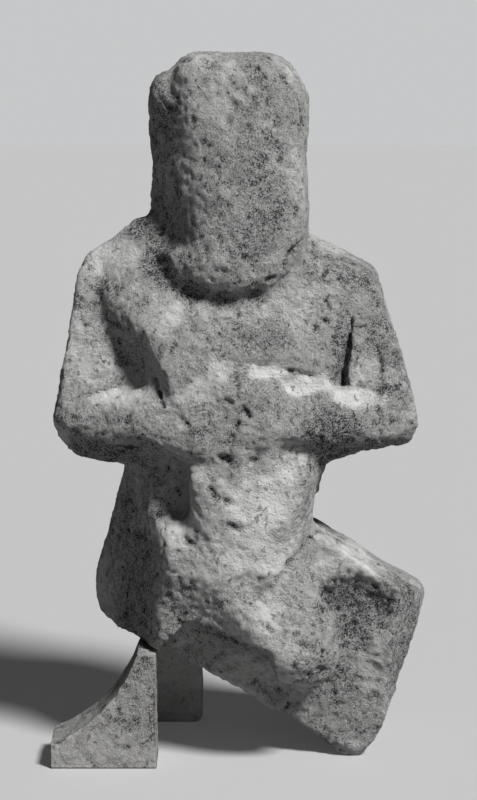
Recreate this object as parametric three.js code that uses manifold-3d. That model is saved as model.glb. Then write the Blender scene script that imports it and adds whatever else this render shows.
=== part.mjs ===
// Seated limestone figure, broken off at the lower left, with the two stone props that hold it level.
// Millimetres, +Z up, the front of the figure towards -Y. The origin is under the middle of the whole.
import * as THREE from 'three';
import Module from 'manifold-3d';

// Driving dimensions of the figure.
const CROWN_Z = 526;
const HEAD_LEFT_X = -65;
const HEAD_RIGHT_X = 50;
const BEARD_FOOT_Z = 353;
const BEARD_ARC_Z = 400;
const FACE_HALF_WIDTH = 40;
const FACE_Y = -76;
const FACE_LEAN = 0.12;
const FACE_CURVE = 0.0045;
const CHEST_Y = -67;
const BACK_Y = 47;
const BACK_CURVE = 0.0016;
const UPPER_DEPTH = [-58, 46];
const HIP_DEPTH = [-46, 50];
const SEAT_DEPTH = [-52, 76];
const SEAT_BACK_Y = 77;
const FOREARM_Z = 262;
const SWELL = 1;

// Outlines in x and z: shoulders and arms, waist and hips, and the block with the seat behind it.
const UPPER_OUTLINE = [
  [-62, 408], [-84, 400], [-111, 383], [-117, 367], [-131, 285], [-135, 256], [-134, 246], [-126, 235],
  [-108, 229], [-84, 226], [-80, 205], [60, 200], [62, 227], [84, 232], [106, 237], [123, 244],
  [132, 256], [129, 276], [106, 348], [98, 365], [84, 374], [62, 384], [44, 393],
];
const HIP_OUTLINE = [
  [-82, 228], [57, 230], [54, 172], [58, 110], [20, 60], [-66, 89], [-92, 91], [-107, 96], [-111, 108],
  [-110, 128], [-104, 152], [-94, 180],
];
const SEAT_OUTLINE = [
  [-70, 150], [48, 178], [62, 173], [93, 153], [124, 130], [139, 123], [143, 114], [142, 104], [120, 47],
  [101, 10], [93, 0], [86, -2], [80, -2], [47, 22], [9, 47], [-66, 89], [-92, 91], [-104, 96], [-106, 112],
];

// The slit between the chest and the right arm: its rim in the open and its floor in the stone.
const SLIT_RIM = [[86.5, -74, 343], [80.5, -74, 343], [69.5, -80, 287], [81.5, -80, 287]];
const SLIT_FLOOR = [[84, -46, 338], [83, -46, 338], [75, -50, 292], [77, -50, 292]];

// Driving dimensions of the props.
const PROP_GAP = 0.7;
const WEDGE = { left: -140, right: -61, heel: 19, topLeft: -75, front: -60, back: -10, hollow: [-94, 36] };
const BLOCK = { left: -72, right: -28, front: 60, back: 87, corner: 6 };

// From the middle of the carving to the middle of the whole.
const ORIGIN_SHIFT = [-1.8, -1.9, 0];

// Size of the facets, and the space that they are cut in.
const CELL = [8.8, 11, 8.8];
const LOW = [-151, -106, -14];
const HIGH = [157, 92, 540];
const TWIN_STEP = 0.15;

const clamp = (value, low, high) => Math.min(Math.max(value, low), high);
const smoothMax = (a, b, blend) => -smoothMin(-a, -b, blend);

function smoothMin(a, b, blend) {
  const share = clamp(0.5 + (0.5 * (b - a)) / blend, 0, 1);
  return b * (1 - share) + a * share - blend * share * (1 - share);
}

function unit(v) {
  const length = Math.hypot(...v);
  return v.map((part) => part / length);
}

function cross(a, b) {
  return [a[1] * b[2] - a[2] * b[1], a[2] * b[0] - a[0] * b[2], a[0] * b[1] - a[1] * b[0]];
}

function rounded(d, radius) {
  const outside = Math.hypot(Math.max(d[0], 0), Math.max(d[1], 0), Math.max(d[2], 0));
  return outside + Math.min(Math.max(d[0], d[1], d[2]), 0) - radius;
}

// Distance to an ellipsoid, negative inside.
function ellipsoid(p, centre, radii) {
  let near = 0;
  let far = 0;
  for (let i = 0; i < 3; i += 1) {
    const q = p[i] - centre[i];
    near += (q / radii[i]) ** 2;
    far += (q / radii[i] ** 2) ** 2;
  }
  const scale = Math.sqrt(near);
  return (scale * (scale - 1)) / Math.max(Math.sqrt(far), 1e-9);
}

function roundedBox(p, centre, half, radius) {
  return rounded(half.map((size, i) => Math.abs(p[i] - centre[i]) - size + radius), radius);
}

// Distance to a plane through a point, negative on the stone's side.
function cut(p, point, direction) {
  const n = unit(direction);
  return (p[0] - point[0]) * n[0] + (p[1] - point[1]) * n[1] + (p[2] - point[2]) * n[2];
}

// A squared limb from one point to another, with half sizes that change along it.
function limb(p, { from, to, up, across, tall, radius }) {
  const run = to.map((value, i) => value - from[i]);
  const length = Math.hypot(...run);
  const along = unit(run);
  const side = unit(cross(along, up));
  const over = cross(side, along);
  const q = p.map((value, i) => value - from[i]);
  const dot = (a) => q[0] * a[0] + q[1] * a[1] + q[2] * a[2];
  const travelled = dot(along);
  const share = clamp(travelled / length, 0, 1);
  const halfAcross = across[0] + (across[1] - across[0]) * share;
  const halfTall = tall[0] + (tall[1] - tall[0]) * share;
  return rounded([
    Math.abs(travelled - length / 2) - length / 2 + radius,
    Math.abs(dot(side)) - halfAcross + radius,
    Math.abs(dot(over)) - halfTall + radius,
  ], radius);
}

// Distance in the x, z plane to a closed outline, negative inside.
function outlineDistance(x, z, points) {
  let best = Infinity;
  let inside = false;
  for (let i = 0; i < points.length; i += 1) {
    const a = points[i];
    const b = points[(i + 1) % points.length];
    const ex = b[0] - a[0];
    const ez = b[1] - a[1];
    const share = clamp(((x - a[0]) * ex + (z - a[1]) * ez) / (ex * ex + ez * ez), 0, 1);
    best = Math.min(best, Math.hypot(x - a[0] - ex * share, z - a[1] - ez * share));
    if ((a[1] > z) !== (b[1] > z) && x < a[0] + ((z - a[1]) / ez) * ex) {
      inside = !inside;
    }
  }
  return inside ? -best : best;
}

// An outline carried through a depth, with rounded edges.
function slab(p, points, [front, back], radius) {
  const a = outlineDistance(p[0], p[2], points) + radius;
  const b = Math.abs(p[1] - (front + back) / 2) - (back - front) / 2 + radius;
  return Math.min(Math.max(a, b), 0) + Math.hypot(Math.max(a, 0), Math.max(b, 0)) - radius;
}

// Hair and beard as one tall block. Its sides and its round foot narrow towards the worn front plane.
function head(p) {
  const [x, y, z] = p;
  const behind = clamp(y + 80, 0, 60);
  const half = FACE_HALF_WIDTH + 0.44 * behind;
  const middle = -1 - 0.06 * behind;
  const low = BEARD_ARC_Z - z;
  const round = Math.hypot(x - middle, low) - half - (7 * low) / 48;
  const sides = low < 0 ? Math.abs(x - middle) - half : round;
  const front = FACE_Y + (z - BEARD_FOOT_Z) * FACE_LEAN + FACE_CURVE * (x - 12) ** 2;
  let d = smoothMax(sides, front - y, 10);
  // The front left corner is one long facet down to the beard.
  const corner = smoothMax(-cut(p, [-31, -60, 402], [-0.82, -0.57, -0.02]), 386 - z, 8);
  d = smoothMax(d, -corner, 8);
  const centre = (HEAD_LEFT_X + HEAD_RIGHT_X) / 2;
  const wide = (HEAD_RIGHT_X - HEAD_LEFT_X) / 2;
  d = smoothMax(d, roundedBox(p, [centre, -10, CROWN_Z - 86], [wide, 80, 86], 20), 8);
  d = smoothMax(d, ellipsoid(p, [-7, -20, 440], [76, 76, 112]), 14);
  // The crown's left corner is broken lower than the top and leaves a knob at the side.
  d = smoothMax(d, cut(p, [-43, 0, CROWN_Z - 2], [-0.8, -0.1, 0.6]), 8);
  d = smoothMin(d, ellipsoid(p, [-53, -14, 494], [13, 20, 19]), 7);
  d = smoothMax(d, cut(p, [38, -14, CROWN_Z - 6], [0.72, -0.12, 0.62]), 12);
  return smoothMax(d, cut(p, [-5, -62, CROWN_Z - 12], [0, -0.55, 0.83]), 12);
}

// Shoulders and upper arms in flat facets, and the chest that stands out beside the hollow of the left arm.
function torso(p) {
  let d = slab(p, UPPER_OUTLINE, UPPER_DEPTH, 9);
  d = smoothMax(d, p[1] - BACK_Y + BACK_CURVE * p[0] * p[0], 10);
  d = smoothMax(d, cut(p, [0, 36, 392], [0, 0.5, 0.87]), 14);
  // Front facets of the left and the right arm.
  const leftArm = smoothMax(-cut(p, [-97, -36, 324], [0.23, -0.92, 0.32]), p[0] + 66, 4);
  d = smoothMax(d, -leftArm, 4);
  d = smoothMax(d, cut(p, [100, -49, 330], [0.1, -0.99, 0.1]), 6);
  // The chest, its steep edge over the hollow, and its outer edges.
  let chest = roundedBox(p, [0, -20, 330], [104, 62, 82], 18);
  chest = smoothMax(chest, cut(p, [0, CHEST_Y, 345], [0.04, -0.99, 0.08]), 6);
  const hollow = smoothMax(-cut(p, [-66, CHEST_Y - 2, 320], [-0.76, -0.56, -0.33]), p[0] + 20, 6);
  chest = smoothMax(chest, -hollow, 4);
  chest = smoothMax(chest, cut(p, [-100, -27, 368], [-0.56, -0.66, 0.5]), 12);
  chest = smoothMax(chest, cut(p, [98, -50, 331], [0.7, -0.7, 0]), 6);
  d = smoothMin(d, chest, 8);
  d = smoothMin(d, ellipsoid(p, [-7, 4, 392], [58, 36, 26]), 10);
  // Shoulder planes: left front, right front, left top and right top.
  d = smoothMax(d, cut(p, [-75, CHEST_Y + 39, 390], [-0.12, -0.85, 0.52]), 12);
  d = smoothMax(d, cut(p, [30, CHEST_Y + 3, 345], [0.18, -0.96, 0.22]), 16);
  d = smoothMax(d, cut(p, [-101, -24, 391], [-0.52, 0.2, 0.83]), 5);
  d = smoothMax(d, cut(p, [84, -20, 371], [0.46, -0.1, 1]), 8);
  // Bevels under the left and the right elbow.
  d = smoothMax(d, cut(p, [-95, -57, 248], [-0.25, -0.6, -0.75]), 5);
  return smoothMax(d, cut(p, [100, -57, 250], [0.2, -0.62, -0.76]), 5);
}

// Forearms that meet in front, and the clasped hands between them. Each has a top bevel and an under bevel.
function forearms(p) {
  const z = FOREARM_Z;
  let left = limb(p, {
    from: [-127, -32, z - 15], to: [-20, -60, z], up: [0, 0.1, 1],
    across: [20, 23], tall: [22, 33], radius: 9,
  });
  left = smoothMax(left, cut(p, [-95, -60, z + 14], [-0.2, -0.6, 0.78]), 4);
  left = smoothMax(left, cut(p, [-95, -57, z - 15], [-0.25, -0.6, -0.75]), 8);
  let right = limb(p, {
    from: [124, -26, z - 4], to: [14, -61, z + 3], up: [0, 0.1, 1],
    across: [20, 23], tall: [16, 35], radius: 9,
  });
  right = smoothMax(right, cut(p, [65, -67, z + 17], [0.2, -0.6, 0.78]), 4);
  right = smoothMax(right, cut(p, [80, -59, z - 16], [0.15, -0.62, -0.77]), 6);
  let hands = limb(p, {
    from: [-48, -50, z + 2], to: [26, -61, z + 6], up: [0, 0.05, 1],
    across: [20, 21], tall: [30, 37], radius: 10,
  });
  hands = smoothMax(hands, cut(p, [-36, -66, z + 28], [-0.55, -0.35, 0.76]), 5);
  hands = smoothMax(hands, cut(p, [0, -79, z + 27], [0, -0.6, 0.8]), 6);
  hands = smoothMax(hands, cut(p, [0, -79, z - 14], [0, -0.96, -0.28]), 6);
  return smoothMin(smoothMin(left, right, 8), hands, 8);
}

// Waist, belly, hips and the ridge of the lap, with the break under the ridge.
function lap(p) {
  let d = slab(p, HIP_OUTLINE, HIP_DEPTH, 10);
  const belly = limb(p, {
    from: [4, -37, 236], to: [5, -33, 136], up: [-0.06, 1, 0], across: [54, 34], tall: [38, 34], radius: 20,
  });
  d = smoothMin(d, belly, 14);
  d = smoothMin(d, ellipsoid(p, [-28, -18, 148], [44, 44, 48]), 14);
  // The thigh's swell under the hollow, and the top of the belly where it meets the hands.
  d = smoothMin(d, ellipsoid(p, [-44, -34, 162], [32, 31, 34]), 12);
  d = smoothMin(d, ellipsoid(p, [4, -48, 233], [44, 28, 22]), 8);
  const ridge = limb(p, {
    from: [-16, -30, 160], to: [54, -56, 88], up: [0.4, 0.5, 1], across: [28, 20], tall: [30, 30], radius: 10,
  });
  d = smoothMin(d, ridge, 14);
  const apron = limb(p, {
    from: [-58, -24, 118], to: [24, -50, 100], up: [0, 0, 1], across: [22, 23], tall: [27, 24], radius: 12,
  });
  d = smoothMin(d, apron, 14);
  // The ridge's round end, its front plane, and the lump that the break left at the apron's foot.
  d = smoothMin(d, ellipsoid(p, [50, -52, 86], [24, 27, 24]), 12);
  d = smoothMax(d, cut(p, [45, -82, 96], [0.08, -0.97, -0.22]), 10);
  d = smoothMin(d, ellipsoid(p, [-50, -42, 112], [11, 11, 12]), 4);
  // The broken face: its plane, its upper edge, and where it ends at the right and the left.
  let broken = -cut(p, [-17, -53, 108], [-0.25, -0.81, -0.53]);
  broken = smoothMax(broken, -cut(p, [-17, -60, 106], [-0.3, 0, -0.95]), 3);
  broken = smoothMax(broken, p[0] - 25 + 0.1 * (p[2] - 93), 5);
  broken = smoothMax(broken, -50 - p[0] + (p[2] - 98), 6);
  return smoothMax(d, -broken, 3);
}

// The lap, the hollowed block at the right, the seat behind, and the flat left side.
function lowerBody(p) {
  let block = slab(p, SEAT_OUTLINE, SEAT_DEPTH, 6);
  block = smoothMax(block, cut(p, [110, -47, 125], [-0.1, -0.98, -0.12]), 5);
  block = smoothMax(block, cut(p, [93, 20, 153], [0.6, 0.26, 1]), 6);
  block = smoothMax(block, cut(p, [117, -40, 100], [0.93, -0.36, -0.14]), 3);
  block = smoothMax(block, p[1] - SEAT_BACK_Y + 0.001 * (p[0] - 20) ** 2, 12);
  block = smoothMax(block, -ellipsoid(p, [74, -76, 110], [76, 41, 48]), 5);
  let d = smoothMin(lap(p), block, 5);
  d = smoothMax(d, cut(p, [-69, -38, 210], [-0.9, -0.42, 0.1]), 3);
  return smoothMax(d, cut(p, [-65, -42, 132], [-0.87, -0.48, -0.02]), 4);
}

// Slow swelling that wear has left on every carved plane.
function swell([x, y, z]) {
  return SWELL * (
    Math.sin(0.082 * x + 0.3) * Math.sin(0.074 * z - 0.05 * y + 1.1)
    + 0.6 * Math.sin(0.137 * z + 0.9 * Math.sin(0.05 * x)) * Math.sin(0.151 * x + 0.11 * y + 2)
  );
}

// The whole stone. It touches the ground with a small flat at its right foot.
function figure(p) {
  let d = smoothMin(torso(p), lowerBody(p), 10);
  d = smoothMin(d, forearms(p), 5);
  d = smoothMin(d, head(p), 5);
  // The hollow under the left forearm, and the pit at the foot of the slit.
  d = smoothMax(d, -roundedBox(p, [-51, -64, 211], [16, 20, 23], 9), 4);
  d = smoothMax(d, -ellipsoid(p, [73, -76, 292], [11, 17, 13]), 4);
  return Math.max(d + swell(p), -p[2]);
}

function gradient(p) {
  const step = 0.05;
  return [0, 1, 2].map((axis) => {
    const ahead = p.slice();
    const behind = p.slice();
    ahead[axis] += step;
    behind[axis] -= step;
    return (figure(ahead) - figure(behind)) / (2 * step);
  });
}

// Moves a point onto the surface along the slope of the distance.
function settle(point) {
  let p = point;
  for (let turn = 0; turn < 4; turn += 1) {
    const slope = gradient(p);
    const steep = Math.max(slope[0] ** 2 + slope[1] ** 2 + slope[2] ** 2, 0.25);
    const d = figure(p);
    p = p.map((value, i) => value - (d * slope[i]) / steep);
  }
  return [p[0], p[1], p[2] < 0.5 ? 0 : p[2]];
}

// Facets the stone: a vertex in every cell that the surface passes through, a quad over every crossed edge.
function facetFigure() {
  const count = LOW.map((low, i) => Math.ceil((HIGH[i] - low) / CELL[i]) + 1);
  const at = (i, j, k) => (i * count[1] + j) * count[2] + k;
  const place = (i, j, k) => [LOW[0] + i * CELL[0], LOW[1] + j * CELL[1], LOW[2] + k * CELL[2]];
  const value = new Float64Array(count[0] * count[1] * count[2]);
  for (let i = 0; i < count[0]; i += 1) {
    for (let j = 0; j < count[1]; j += 1) {
      for (let k = 0; k < count[2]; k += 1) {
        value[at(i, j, k)] = figure(place(i, j, k));
      }
    }
  }
  const corners = [];
  for (let n = 0; n < 8; n += 1) {
    corners.push([n & 1, (n >> 1) & 1, n >> 2]);
  }
  const edges = [];
  for (let a = 0; a < 8; a += 1) {
    for (const bit of [1, 2, 4]) {
      if (!(a & bit)) {
        edges.push([a, a | bit]);
      }
    }
  }
  const vertexOf = new Map();
  const positions = [];
  for (let i = 0; i < count[0] - 1; i += 1) {
    for (let j = 0; j < count[1] - 1; j += 1) {
      for (let k = 0; k < count[2] - 1; k += 1) {
        const v = corners.map(([a, b, c]) => value[at(i + a, j + b, k + c)]);
        const sum = [0, 0, 0];
        let crossings = 0;
        for (const [a, b] of edges) {
          if ((v[a] < 0) !== (v[b] < 0)) {
            const share = v[a] / (v[a] - v[b]);
            for (let axis = 0; axis < 3; axis += 1) {
              sum[axis] += corners[a][axis] + share * (corners[b][axis] - corners[a][axis]);
            }
            crossings += 1;
          }
        }
        if (crossings) {
          vertexOf.set(at(i, j, k), positions.length / 3);
          const low = place(i, j, k);
          const start = low.map((corner, axis) => corner + (CELL[axis] * sum[axis]) / crossings);
          positions.push(...settle(start));
        }
      }
    }
  }
  const index = [];
  const strides = [at(1, 0, 0), at(0, 1, 0), at(0, 0, 1)];
  for (let i = 1; i < count[0] - 1; i += 1) {
    for (let j = 1; j < count[1] - 1; j += 1) {
      for (let k = 1; k < count[2] - 1; k += 1) {
        const here = at(i, j, k);
        for (let axis = 0; axis < 3; axis += 1) {
          const inside = value[here] < 0;
          if (inside !== (value[here + strides[axis]] < 0)) {
            const u = strides[(axis + 1) % 3];
            const w = strides[(axis + 2) % 3];
            const quad = [here - u - w, here - w, here, here - u].map((cell) => vertexOf.get(cell));
            if (!inside) {
              quad.reverse();
            }
            addQuad(index, quad, positions);
          }
        }
      }
    }
  }
  return { positions, index };
}

// Splits a quad along its shorter diagonal.
function addQuad(index, [a, b, c, d], positions) {
  const gap = (m, n) => Math.hypot(...[0, 1, 2].map((i) => positions[3 * m + i] - positions[3 * n + i]));
  if (gap(a, c) <= gap(b, d)) {
    index.push(a, b, c, a, c, d);
  } else {
    index.push(b, c, d, b, d, a);
  }
}

// The height of the stone's underside over a point of the ground.
function undersideAt(x, y) {
  let z = 20;
  while (figure([x, y, z]) > 0.05 && z < 200) {
    z += Math.max(figure([x, y, z]) * 0.5, 0.05);
  }
  return z;
}

// The slanted top of a prop: its levels at the left and right, just clear of the stone above.
function topLevels(left, right, front, back) {
  const samples = [];
  for (let i = 0; i <= 6; i += 1) {
    const share = i / 6;
    for (let j = 0; j <= 4; j += 1) {
      const y = front + ((back - front) * j) / 4;
      samples.push({ share, level: undersideAt(left + (right - left) * share, y) - PROP_GAP });
    }
  }
  const lowest = (share) => Math.min(...samples.filter((s) => s.share === share).map((s) => s.level));
  const [start, end] = [lowest(0), lowest(1)];
  const excess = Math.max(...samples.map(({ share, level }) => start + (end - start) * share - level));
  return [start - excess, end - excess];
}

const wasm = await Module();
wasm.setup();

function toSolid(positions, index) {
  return new wasm.Manifold(new wasm.Mesh({
    numProp: 3,
    vertProperties: Float32Array.from(positions),
    triVerts: Uint32Array.from(index),
  }));
}

function toGeometry(solid) {
  const mesh = solid.getMesh();
  const geometry = new THREE.BufferGeometry();
  geometry.setAttribute('position', new THREE.BufferAttribute(Float32Array.from(mesh.vertProperties), 3));
  geometry.setIndex(new THREE.BufferAttribute(Uint32Array.from(mesh.triVerts), 1));
  geometry.computeVertexNormals();
  partTwins(geometry);
  return geometry;
}

// Where two folds of the surface meet in one point, each fold draws back a little along its own normal.
function partTwins(geometry) {
  const { position, normal } = geometry.attributes;
  const groups = new Map();
  for (let i = 0; i < position.count; i += 1) {
    const key = [position.getX(i), position.getY(i), position.getZ(i)].map((v) => v.toFixed(2)).join();
    groups.set(key, [...(groups.get(key) ?? []), i]);
  }
  const point = new THREE.Vector3();
  const back = new THREE.Vector3();
  for (const twins of groups.values()) {
    if (twins.length > 1) {
      for (const i of twins) {
        back.fromBufferAttribute(normal, i).multiplyScalar(-TWIN_STEP);
        point.fromBufferAttribute(position, i).add(back);
        position.setXYZ(i, point.x, point.y, point.z);
      }
    }
  }
}

// The deep narrow slit between the chest and the right arm, as a wedge to take away.
function slitCutter() {
  const positions = [...SLIT_RIM, ...SLIT_FLOOR].flat();
  const sides = [0, 1, 2, 3].flatMap((n) => {
    const next = (n + 1) % 4;
    return [n, next + 4, next, n, n + 4, next + 4];
  });
  const index = [0, 1, 2, 0, 2, 3, 4, 6, 5, 4, 7, 6, ...sides];
  return toSolid(positions, index);
}

function prism(points, front, back) {
  const shape = new THREE.Shape(points.map(([x, z]) => new THREE.Vector2(x, z)));
  const geometry = new THREE.ExtrudeGeometry(shape, { depth: back - front, bevelEnabled: false });
  geometry.rotateX(Math.PI / 2);
  geometry.translate(0, back, 0);
  return geometry;
}

function wedgeGeometry() {
  const [topLeft, topRight] = topLevels(WEDGE.topLeft, WEDGE.right, WEDGE.front, WEDGE.back);
  const curve = new THREE.QuadraticBezierCurve(
    new THREE.Vector2(WEDGE.topLeft, topLeft),
    new THREE.Vector2(...WEDGE.hollow),
    new THREE.Vector2(WEDGE.left, WEDGE.heel),
  );
  const points = [[WEDGE.left, 0], [WEDGE.right, 0], [WEDGE.right, topRight]];
  points.push(...curve.getPoints(14).map((p) => [p.x, p.y]));
  return prism(points, WEDGE.front, WEDGE.back);
}

function blockGeometry() {
  const [topLeft, topRight] = topLevels(BLOCK.left, BLOCK.right, BLOCK.front, SEAT_BACK_Y);
  const points = [[BLOCK.left, 0], [BLOCK.right - BLOCK.corner, 0]];
  for (let step = 1; step <= 4; step += 1) {
    const turn = ((step / 4) * Math.PI) / 2;
    points.push([
      BLOCK.right - BLOCK.corner * (1 - Math.sin(turn)),
      BLOCK.corner * (1 - Math.cos(turn)),
    ]);
  }
  points.push([BLOCK.right, topRight], [BLOCK.left, topLeft]);
  return prism(points, BLOCK.front, BLOCK.back);
}

function stone(name, geometry, colour, roughness) {
  const material = new THREE.MeshStandardMaterial({ color: colour, roughness, metalness: 0 });
  material.name = `${name}_stone`;
  const mesh = new THREE.Mesh(geometry, material);
  mesh.name = name;
  return mesh;
}

const facets = facetFigure();
const solid = toSolid(facets.positions, facets.index).subtract(slitCutter());

const group = new THREE.Group();
group.name = 'seated_limestone_figure';
group.position.set(...ORIGIN_SHIFT);
group.add(stone('limestone_figure', toGeometry(solid), 0xb9b4a8, 0.92));
group.add(stone('front_prop_wedge', wedgeGeometry(), 0x8f8b83, 0.9));
group.add(stone('rear_prop_block', blockGeometry(), 0x86827a, 0.9));

export default group;
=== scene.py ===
"""Seated limestone figure on two loose stone props, with worn stone finishes, soft light and a camera."""

import logging
import math
from dataclasses import dataclass, field, replace
from enum import Enum
from typing import Callable, ClassVar, Sequence, Union

import bpy
import numpy as np
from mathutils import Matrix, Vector

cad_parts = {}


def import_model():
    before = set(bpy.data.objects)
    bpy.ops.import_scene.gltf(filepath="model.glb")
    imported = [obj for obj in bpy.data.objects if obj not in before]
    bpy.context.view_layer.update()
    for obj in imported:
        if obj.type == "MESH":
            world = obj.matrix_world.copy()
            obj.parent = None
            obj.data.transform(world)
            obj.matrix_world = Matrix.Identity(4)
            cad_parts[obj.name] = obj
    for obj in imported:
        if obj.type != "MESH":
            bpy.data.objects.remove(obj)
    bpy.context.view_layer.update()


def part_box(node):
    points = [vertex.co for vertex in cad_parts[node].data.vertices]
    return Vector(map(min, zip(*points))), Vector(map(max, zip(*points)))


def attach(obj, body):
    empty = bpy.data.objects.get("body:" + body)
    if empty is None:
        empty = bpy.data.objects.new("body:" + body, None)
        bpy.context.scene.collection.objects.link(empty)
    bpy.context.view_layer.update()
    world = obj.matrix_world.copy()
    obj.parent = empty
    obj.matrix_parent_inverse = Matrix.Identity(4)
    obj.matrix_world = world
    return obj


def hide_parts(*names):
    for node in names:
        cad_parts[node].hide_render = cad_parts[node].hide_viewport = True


log = logging.getLogger("seated_figure")

Array = np.ndarray
Distance = Callable[[Array], Array]
Amount = Union[float, Array]
Point = tuple[float, float, float]
Pair = tuple[float, float]
Colour = tuple[float, float, float]
Plane = tuple[Point, Point, float]

# Sizes and places are in millimetres up to the step that makes a mesh, which turns them into metres.
MM = 0.001
# From the place where the stone is carved to the middle of its box.
ORIGIN_SHIFT = np.array([-1.8, -1.9, 0.0])
# How far the camera looks down, in degrees, and how much a point seems to rise as it lies further back.
CAMERA_ELEVATION = 9.0
VIEW_SLOPE = math.tan(math.radians(CAMERA_ELEVATION))
# Keeps a division clear of zero.
TINY = 1e-9

# Outlines in x and z, as seen from the front.
UPPER_OUTLINE = (
    (-62, 408), (-84, 400), (-111, 383), (-117, 367), (-131, 285), (-135, 256), (-134, 246), (-126, 235),
    (-108, 229), (-84, 226), (-80, 205), (60, 200), (62, 227), (84, 232), (106, 237), (123, 244),
    (132, 256), (129, 276), (106, 348), (98, 365), (84, 374), (62, 384), (44, 393),
)
HIP_OUTLINE = (
    (-82, 228), (57, 230), (54, 172), (58, 110), (20, 60), (-66, 89), (-92, 91), (-107, 96), (-111, 108),
    (-110, 128), (-104, 152), (-94, 180),
)
SEAT_OUTLINE = (
    (-70, 150), (48, 178), (62, 173), (93, 153), (124, 130), (139, 123), (143, 114), (142, 104), (120, 47),
    (101, 10), (93, 0), (86, -2), (80, -2), (47, 22), (9, 47), (-66, 89), (-92, 91), (-104, 96), (-106, 112),
)


# Distances, in millimetres, negative inside the stone.
def soft_min(a: Array, b: Array, blend: float) -> Array:
    """Join two distances with a rounded hollow.

    Args:
        a: First distance.
        b: Second distance.
        blend: Width of the rounding.

    Returns:
        The joined distance.
    """
    share = np.clip(0.5 + 0.5 * (b - a) / blend, 0.0, 1.0)
    return b * (1 - share) + a * share - blend * share * (1 - share)


def soft_max(a: Array, b: Array, blend: float) -> Array:
    """Keep what two distances share, with a rounded edge."""
    return -soft_min(-a, -b, blend)


def rounded(parts: Sequence[Array], radius: float) -> Array:
    """Turn three one-way distances into the distance of a box with rounded edges.

    Args:
        parts: Distances along the box's three directions, each with the radius added.
        radius: Rounding of the edges.

    Returns:
        The box's distance.
    """
    outside = np.sqrt(sum(np.maximum(part, 0.0) ** 2 for part in parts))
    inside = np.minimum(np.maximum(np.maximum(parts[0], parts[1]), parts[2]), 0.0)
    return outside + inside - radius


def ellipsoid(p: Array, centre: Point, radii: Point) -> Array:
    """Work out the distance to an ellipsoid.

    Args:
        p: Points.
        centre: Its middle.
        radii: Its half sizes.

    Returns:
        The distance at each point.
    """
    q = p - np.array(centre, float)
    size = np.array(radii, float)
    near = np.sqrt(((q / size) ** 2).sum(axis=1))
    far = np.sqrt(((q / size**2) ** 2).sum(axis=1))
    return near * (near - 1) / np.maximum(far, TINY)


def rounded_box(p: Array, centre: Point, half: Point, radius: float) -> Array:
    """Distance to a box with rounded edges."""
    return rounded([np.abs(p[:, i] - centre[i]) - half[i] + radius for i in range(3)], radius)


def cut(p: Array, point: Point, direction: Point) -> Array:
    """Distance beyond a plane through a point, negative on the stone's side."""
    n = np.array(direction, float)
    return (p - np.array(point, float)) @ (n / np.linalg.norm(n))


def trim(p: Array, d: Array, *planes: Plane) -> Array:
    """Cut a shape by planes, one after another.

    Args:
        p: Points.
        d: Distance to the shape.
        planes: For each cut a point, the direction that is cut away, and the rounding of the edge.

    Returns:
        The distance to what is left.
    """
    for point, direction, blend in planes:
        d = soft_max(d, cut(p, point, direction), blend)
    return d


def limb(p: Array, start: Point, end: Point, up: Point,
         across: Pair, tall: Pair, radius: float) -> Array:
    """Work out the distance to a squared limb whose half sizes change along it.

    Args:
        p: Points.
        start: Middle of the first end.
        end: Middle of the second end.
        up: Direction that the limb's top faces.
        across: Half widths at the two ends.
        tall: Half heights at the two ends.
        radius: Rounding of the edges.

    Returns:
        The distance at each point.
    """
    run = np.array(end, float) - np.array(start, float)
    length = np.linalg.norm(run)
    along = run / length
    side = np.cross(along, up)
    side = side / np.linalg.norm(side)
    over = np.cross(side, along)
    q = p - np.array(start, float)
    travelled = q @ along
    share = np.clip(travelled / length, 0.0, 1.0)
    return rounded([
        np.abs(travelled - length / 2) - length / 2 + radius,
        np.abs(q @ side) - (across[0] + (across[1] - across[0]) * share) + radius,
        np.abs(q @ over) - (tall[0] + (tall[1] - tall[0]) * share) + radius,
    ], radius)


def outline_distance(x: Array, z: Array, points: Sequence[Pair]) -> Array:
    """Work out the distance to a closed outline, negative inside it.

    Args:
        x: First places of the points.
        z: Their heights.
        points: Corners of the outline in x and z.

    Returns:
        The distance at each point.
    """
    best = np.full(len(x), np.inf)
    inside = np.zeros(len(x), bool)
    for (ax, az), (bx, bz) in zip(points, (*points[1:], points[0])):
        ex, ez = bx - ax, bz - az
        share = np.clip(((x - ax) * ex + (z - az) * ez) / (ex * ex + ez * ez), 0.0, 1.0)
        best = np.minimum(best, np.hypot(x - ax - ex * share, z - az - ez * share))
        if ez:
            inside ^= ((az > z) != (bz > z)) & (x < ax + (z - az) / ez * ex)
    return np.where(inside, -best, best)


def slab(p: Array, points: Sequence[Pair], depth: Pair, radius: float) -> Array:
    """Work out the distance to an outline carried through a depth, with rounded edges.

    Args:
        p: Points.
        points: Corners of the outline in x and z.
        depth: Where it begins and ends in y.
        radius: Rounding of the edges.

    Returns:
        The distance at each point.
    """
    a = outline_distance(p[:, 0], p[:, 2], points) + radius
    b = np.abs(p[:, 1] - (depth[0] + depth[1]) / 2) - (depth[1] - depth[0]) / 2 + radius
    return np.minimum(np.maximum(a, b), 0) + np.hypot(np.maximum(a, 0), np.maximum(b, 0)) - radius


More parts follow.
